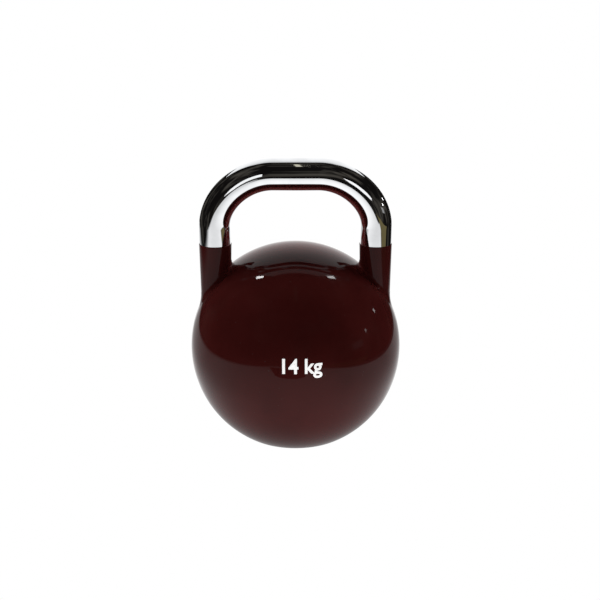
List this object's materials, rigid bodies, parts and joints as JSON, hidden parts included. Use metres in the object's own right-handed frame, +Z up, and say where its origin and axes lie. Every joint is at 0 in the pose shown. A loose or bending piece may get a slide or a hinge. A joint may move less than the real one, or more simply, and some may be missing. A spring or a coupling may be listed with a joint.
{
  "type": "kettlebell",
  "caption": "Competition kettlebell: round painted steel ball with a flat foot, two welded horns and a chromed bar handle; iron ballast on a post inside.",
  "frame": {"origin": "centre of the flat foot, on the floor", "axes": "+Z up through the ball and the middle of the handle; X runs along the handle's bar, with left_ nodes at -X; the marked front of the ball faces -Y"},
  "size_m": [0.21, 0.21, 0.28],
  "materials": {
    "body_paint": "very glossy dark maroon enamel over ball, horns and welds",
    "handle_chrome": "bright polished chrome plate",
    "plain_steel": "turned or zinc-plated steel, satin",
    "ballast_iron": "rough as-cast iron",
    "seal_rubber": "matt black rubber",
    "mark_paint": null
  },
  "bodies": {
    "root": {"upper_shell": "body_paint", "lower_shell": "body_paint", "seam_weld": "body_paint", "seam_backing_ring": "plain_steel", "handle_bar": "handle_chrome", "left_horn": "body_paint", "left_horn_weld": "body_paint", "left_spigot": "plain_steel", "right_horn": "body_paint", "right_horn_weld": "body_paint", "right_spigot": "plain_steel", "base_plate": "plain_steel", "base_screw": "plain_steel", "screw_seal": "seal_rubber", "centre_post": "plain_steel", "support_sleeve": "plain_steel", "ballast_disc_1": "ballast_iron", "ballast_disc_2": "ballast_iron", "ballast_disc_3": "ballast_iron", "ballast_disc_4": "ballast_iron", "rubber_washer": "seal_rubber", "clamp_washer": "plain_steel", "lock_nut": "plain_steel"}
  },
  "joints": []
}
